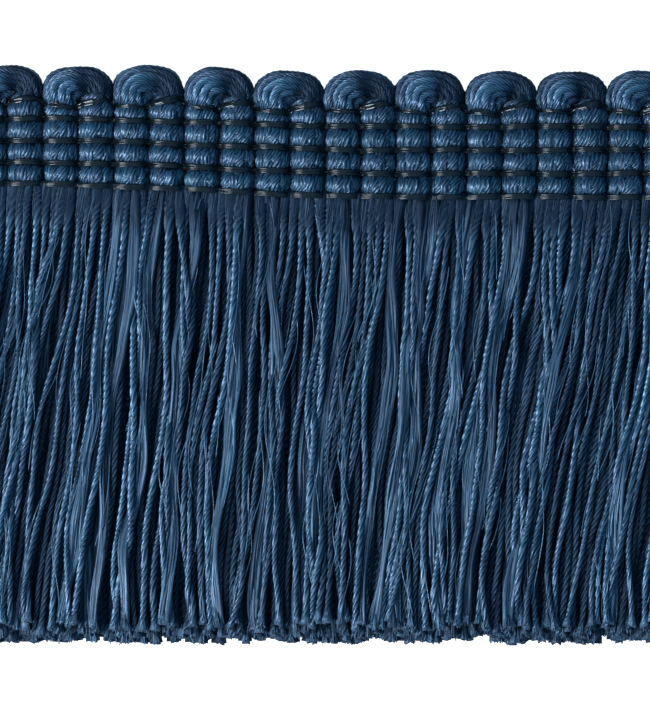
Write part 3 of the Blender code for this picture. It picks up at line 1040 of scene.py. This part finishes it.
def stray_filaments(skirt, material):
    """Fine filaments that have come loose and lie across the cords."""
    path, layer, _ = skirt_lie()
    rng = np.random.default_rng(59)
    count = skirt.strays
    carrier = resample(path[rng.choice(np.flatnonzero(layer == FRONT), count)], STRAY_CARRIER_RINGS)
    length = rng.uniform(0.12, 0.42, count)
    start = rng.uniform(0.02, 1.0 - length)
    share = start[:, None] + length[:, None] * np.linspace(0.0, 1.0, 26)
    line = places(carrier, share)
    run = share * SKIRT_LENGTH
    line[..., 0] += waves(rng, count, STRAY_DRIFT, run)
    line[..., 2] += STRAY_LIFT + np.abs(waves(rng, count, STRAY_BOB, run))
    radius = rng.uniform(0.025, 0.05, (count, 1)) * MM
    tone = 0.75 + rng.normal(0.0, 0.1, count)
    add_skirt_piece("skirt_strays", [plain(line, radius, LOOSE_CORNERS, tone)], material)


def strand_ends():
    """The tip of every strand and the way that it points."""
    path, _, _ = skirt_lie()
    tip = path[:, -1]
    down = tip - path[:, -2]
    return tip, down / np.linalg.norm(down, axis=-1, keepdims=True)


def end_tufts(skirt, rng):
    """A tuft on each strand, which flares from half or 0.85 of its radius to between 1.0 and 1.3 of it.

    It grows by an S curve. Each of its corners has its own reach, which gives it ridges, and at the cut
    its own length.
    """
    _, layer, radius = skirt_lie()
    tip, down = strand_ends()
    count, corners = len(tip), 8
    share = np.linspace(0.0, 1.0, END_RINGS)
    above = rng.uniform(0.5, 1.3, (count, 1)) * MM
    below = rng.uniform(-0.1, 0.2, (count, 1)) * MM
    line = tip[:, None] + down[:, None] * (share * (above + below) - above)[..., None]
    narrow = np.where(silk_share(skirt), 0.5, 0.85)[:, None]
    flare = narrow + (rng.uniform(1.0, 1.3, (count, 1)) - narrow) * smoothstep(share)
    uneven = 1.0 + share[:, None] * rng.uniform(-0.25, 0.2, (count, 1, corners))
    # Tufts under the front layer are deeper in tone: painted shade
    tone = 0.31 + rng.normal(0.0, 0.1, (count, 1)) - 0.1 * (layer < FRONT)[:, None]
    reach = (radius[:, None] * flare)[..., None] * uneven
    tufts = batch(line, reach, ring_corners(corners), np.zeros((count, END_RINGS)), tone,
                  np.tile(TUFT_FLAT * share, (count, 1)))
    tufts[0][:, -1, :, :2] += down[:, None, :2] * rng.uniform(-0.35, 0.2, (count, corners, 1)) * MM
    return tufts


def end_filaments(skirt, rng):
    """Filaments that spread out of each tuft, from places inside the strand."""
    _, _, radius = skirt_lie()
    tip, down = (np.repeat(rows, skirt.end_filaments, axis=0) for rows in strand_ends())
    size = np.repeat(radius, skirt.end_filaments)
    count = len(tip)
    angle = rng.uniform(0.0, math.tau, count)[:, None]
    out = np.sqrt(rng.uniform(0.1, 1.0, count))
    aside = (np.cross(down, UP) * np.cos(angle) + UP * np.sin(angle)) * (size * out)[:, None]
    share = np.linspace(0.0, 1.0, END_RINGS)[None, :, None]
    begin = tip - down * rng.uniform(0.6, 1.5, (count, 1)) * MM
    end = tip + down * rng.uniform(-0.2, 0.25, (count, 1)) * MM
    spread = 0.9 + 0.7 * share ** 2 * rng.uniform(0.4, 1.2, (count, 1, 1))
    line = begin[:, None] * (1 - share) + end[:, None] * share + aside[:, None] * spread
    line[..., 2] = np.maximum(line[..., 2], END_LOWEST)
    radius = rng.uniform(0.04, 0.08, (count, 1)) * MM
    return plain(line, radius, LOOSE_CORNERS, 0.45 + rng.normal(0.0, 0.18, count))


# Stage: a white table, a low light from the left, a weak one above and a camera straight above
PICTURE = (650, 722)
METRES_A_PIXEL = 0.1 * MM
MIDDLE_PIXEL_H = -17.07 * MM
FACE_HEIGHT = 2.5 * MM
TABLE_DROP = 0.02 * MM


def add_stage(stage):
    """The floor, the lights and the camera."""
    scene = bpy.context.scene
    bpy.ops.mesh.primitive_plane_add(size=stage.floor_size, location=(0.0, 0.0, -TABLE_DROP))
    floor = bpy.context.object
    floor.name = "floor"
    material, tree, shader = new_material("floor_white")
    fill(tree, shader, {"Base Color": (0.6, 0.6, 0.6, 1.0), "Roughness": 0.9, "Specular IOR Level": 0.1,
                        "Emission Color": (1.0, 1.0, 1.0, 1.0), "Emission Strength": 0.95})
    floor.data.materials.append(material)
    world = bpy.data.worlds.new("studio")
    world.use_nodes = True
    fill(world.node_tree, world.node_tree.nodes["Background"],
         {"Color": (0.22, 0.66, 1.0, 1.0), "Strength": stage.fill})
    scene.world = world
    for name, place, size, power in (
        ("key", (-0.28, -0.09, 0.20), (0.12, 0.32), stage.key),
        ("top", (0.10, 0.05, 0.40), (0.25, 0.25), stage.top),
    ):
        lamp = bpy.data.lights.new(name, "AREA")
        lamp.shape = "RECTANGLE"
        lamp.size, lamp.size_y = size
        lamp.energy = power
        light = bpy.data.objects.new(name, lamp)
        light.location = place
        light.rotation_mode = "QUATERNION"
        light.rotation_quaternion = light.location.to_track_quat("Z", "Y")
        scene.collection.objects.link(light)
    camera = bpy.data.cameras.new("camera")
    camera.lens = stage.lens
    camera.clip_start = 0.01
    eye = bpy.data.objects.new("camera", camera)
    height = PICTURE[1] * METRES_A_PIXEL * camera.lens / camera.sensor_width
    eye.location = (SHIFT[0], MIDDLE_PIXEL_H + SHIFT[1], height + FACE_HEIGHT)
    scene.collection.objects.link(eye)
    scene.camera = eye
    scene.view_settings.view_transform = "Standard"


# The add-on: settings, operators and panel

class HeadingSettings(bpy.types.PropertyGroup):
    """Sizes of the looped cords and of the rows that bind them."""

    twist_length: FloatProperty(name="Twist length", description="Length of one full turn of the plies",
                                default=3.4 * MM, unit="LENGTH", precision=5)
    filaments: IntProperty(name="Filaments", description="Filaments side by side in a binding row",
                           default=4, min=1)
    filament_radius: FloatProperty(name="Filament radius", description="Half the thickness of a filament",
                                   default=0.088 * MM, unit="LENGTH", precision=5)


class SkirtSettings(bpy.types.PropertyGroup):
    """Sizes and counts of the cut strands."""

    twist_length: FloatProperty(name="Twist length", description="Length of one full turn of the plies",
                                default=3.2 * MM, unit="LENGTH", precision=5)
    ply_hollow: FloatProperty(name="Ply hollow", description="Depth of the groove between two plies, as a"
                              " share of the cord's radius", default=0.5, min=0.0, max=0.9, subtype="FACTOR")
    silk_share: FloatProperty(name="Silk share", description="Share of front strands that are flat bundles",
                              default=0.14, min=0.0, max=1.0, subtype="FACTOR")
    silk_width: FloatProperty(name="Silk width", description="Width of a flat bundle",
                              default=0.74 * MM, unit="LENGTH", precision=5)
    root_fibres: IntProperty(name="Root fibres", description="Open fibres over the root of a front strand",
                             default=8, min=1)
    strays: IntProperty(name="Strays", description="Loose filaments over the skirt", default=200, min=1)
    end_filaments: IntProperty(name="End filaments", description="Loose filaments in the brush at a cut end",
                               default=9, min=1)


class FinishSettings(bpy.types.PropertyGroup):
    """Colours and sheen of the yarns."""

    deep_dye: FloatVectorProperty(name="Deep dye", description="Colour of the darkest yarn",
                                  default=(0.001, 0.014, 0.038), subtype="COLOR")
    pale_dye: FloatVectorProperty(name="Pale dye", description="Colour of the palest yarn",
                                  default=(0.047, 0.154, 0.252), subtype="COLOR")
    violet_dye: FloatVectorProperty(name="Violet dye", description="The palest yarn where its cast is warmer",
                                    default=(0.077, 0.144, 0.272), subtype="COLOR")
    sheen: FloatProperty(name="Sheen", description="Share of the gloss that takes the dye's colour",
                         default=0.40, min=0.0, max=1.0, subtype="FACTOR")
    binding_dye: FloatVectorProperty(name="Binding dye", description="Colour of the binding rows",
                                     default=(0.003, 0.005, 0.008), subtype="COLOR")
    binding_light: FloatVectorProperty(name="Binding light", description="Their palest filaments",
                                       default=(0.007, 0.011, 0.016), subtype="COLOR")


class StageSettings(bpy.types.PropertyGroup):
    """The table, the light and the camera."""

    floor_size: FloatProperty(name="Floor size", description="Side of the white table",
                              default=3.0, unit="LENGTH")
    key: FloatProperty(name="Key light", description="Power of the low lamp on the left",
                       default=2.65, unit="POWER")
    top: FloatProperty(name="Top light", description="Power of the broad lamp above",
                       default=0.08, unit="POWER")
    fill: FloatProperty(name="Fill light", description="Strength of the light from all round", default=0.52)
    lens: FloatProperty(name="Lens", description="Focal length of the camera", default=150.0,
                        unit="CAMERA")


def skirt_cord_yarn(finish):
    """The yarn of the skirt's cords and of the strays from them, made once."""
    made = bpy.data.materials.get("skirt_cord_yarn")
    return made or yarn_material("skirt_cord_yarn", finish, gloss=0.33, grain=0.2, fuzz=0.15)


class FRINGE_OT_stage(bpy.types.Operator):
    """Set the table, the light and the camera"""

    bl_idname = "fringe.stage"
    bl_label = "Stage"

    def execute(self, context):
        add_stage(context.scene.fringe_stage)
        return {"FINISHED"}


class FRINGE_OT_loop_cords(bpy.types.Operator):
    """Build the scallops and columns of plied cord"""

    bl_idname = "fringe.loop_cords"
    bl_label = "Loop cords"

    def execute(self, context):
        scene = context.scene
        material = yarn_material("loop_yarn", scene.fringe_finish, gloss=0.35, grain=1.0, reach=1.0 * MM)
        rng = np.random.default_rng(5)
        for number in range(SCALLOPS):
            loop_cords(number, scene.fringe_heading, material, rng)
        return {"FINISHED"}


class FRINGE_OT_binding_rows(bpy.types.Operator):
    """Build the dark rows that bind the heading"""

    bl_idname = "fringe.binding_rows"
    bl_label = "Binding rows"

    def execute(self, context):
        scene = context.scene
        lower = filament_material("binding_filament", scene.fringe_finish, gloss=0.27)
        upper = filament_material("binding_filament_glossy", scene.fringe_finish, gloss=0.15)
        rng = np.random.default_rng(7)
        for row in range(UPPERMOST + 1):
            binding_row(row, scene.fringe_heading, upper if row == UPPERMOST else lower, rng)
        return {"FINISHED"}


class FRINGE_OT_skirt_cords(bpy.types.Operator):
    """Build the cut cords of the skirt"""

    bl_idname = "fringe.skirt_cords"
    bl_label = "Skirt cords"

    def execute(self, context):
        skirt, finish = context.scene.fringe_skirt, context.scene.fringe_finish
        cord_yarn = skirt_cord_yarn(finish)
        under_yarn = yarn_material("skirt_under_yarn", finish, gloss=0.45, grain=0.3,
                                   drawn_twist=skirt.twist_length)
        skirt_cords(skirt, cord_yarn, under_yarn)
        return {"FINISHED"}


class FRINGE_OT_silk_bundles(bpy.types.Operator):
    """Build the flat bundles of silk between the skirt's cords"""

    bl_idname = "fringe.silk_bundles"
    bl_label = "Silk bundles"

    def execute(self, context):
        skirt, finish = context.scene.fringe_skirt, context.scene.fringe_finish
        silk_bundles(skirt, yarn_material("skirt_silk_yarn", finish, gloss=0.42, grain=1.3, reach=9 * MM))
        return {"FINISHED"}


class FRINGE_OT_root_fibres(bpy.types.Operator):
    """Build the open fibres over and behind the skirt's roots"""

    bl_idname = "fringe.root_fibres"
    bl_label = "Root fibres"

    def execute(self, context):
        skirt, finish = context.scene.fringe_skirt, context.scene.fringe_finish
        material = yarn_material("skirt_root_yarn", finish, gloss=0.48, grain=0.8, fuzz=0.6)
        rng = np.random.default_rng(67)
        add_skirt_piece("skirt_root_fibres", [open_fibres(skirt, rng), root_laps(rng)], material)
        return {"FINISHED"}


class FRINGE_OT_strays(bpy.types.Operator):
    """Build the loose filaments that lie across the skirt"""

    bl_idname = "fringe.strays"
    bl_label = "Strays"

    def execute(self, context):
        skirt, finish = context.scene.fringe_skirt, context.scene.fringe_finish
        stray_filaments(skirt, skirt_cord_yarn(finish))
        return {"FINISHED"}


class FRINGE_OT_cut_ends(bpy.types.Operator):
    """Build the brush at each strand's end: a tuft, and filaments out of it"""

    bl_idname = "fringe.cut_ends"
    bl_label = "Cut ends"

    def execute(self, context):
        skirt, finish = context.scene.fringe_skirt, context.scene.fringe_finish
        material = yarn_material("cut_yarn", finish, gloss=0.5, grain=1.2, fuzz=0.6)
        rng = np.random.default_rng(61)
        add_skirt_piece("skirt_cut_ends", [end_tufts(skirt, rng), end_filaments(skirt, rng)], material)
        return {"FINISHED"}


class FRINGE_PT_panel(bpy.types.Panel):
    """Moss fringe"""

    bl_label = "Moss fringe"
    bl_space_type = "VIEW_3D"
    bl_region_type = "UI"
    bl_category = "Fringe"

    def draw(self, context):
        scene = context.scene
        for settings in (scene.fringe_heading, scene.fringe_skirt, scene.fringe_finish, scene.fringe_stage):
            box = self.layout.box()
            for name in settings.bl_rna.properties.keys():
                if name not in ("rna_type", "name"):
                    box.prop(settings, name)
        for operator in OPERATORS:
            self.layout.operator(operator.bl_idname)


SETTINGS = {
    "fringe_heading": HeadingSettings,
    "fringe_skirt": SkirtSettings,
    "fringe_finish": FinishSettings,
    "fringe_stage": StageSettings,
}
OPERATORS = (FRINGE_OT_stage, FRINGE_OT_loop_cords, FRINGE_OT_binding_rows, FRINGE_OT_skirt_cords,
             FRINGE_OT_silk_bundles, FRINGE_OT_root_fibres, FRINGE_OT_strays, FRINGE_OT_cut_ends)


def register():
    for name, group in SETTINGS.items():
        bpy.utils.register_class(group)
        setattr(bpy.types.Scene, name, PointerProperty(type=group))
    for shown in (*OPERATORS, FRINGE_PT_panel):
        bpy.utils.register_class(shown)


def unregister():
    for shown in (FRINGE_PT_panel, *reversed(OPERATORS)):
        bpy.utils.unregister_class(shown)
    for name, group in reversed(SETTINGS.items()):
        delattr(bpy.types.Scene, name)
        bpy.utils.unregister_class(group)


def main():
    register()
    bpy.ops.fringe.stage()
    bpy.ops.fringe.loop_cords()
    bpy.ops.fringe.binding_rows()
    bpy.ops.fringe.skirt_cords()
    bpy.ops.fringe.silk_bundles()
    bpy.ops.fringe.root_fibres()
    bpy.ops.fringe.strays()
    bpy.ops.fringe.cut_ends()


if __name__ == "__main__":
    main()
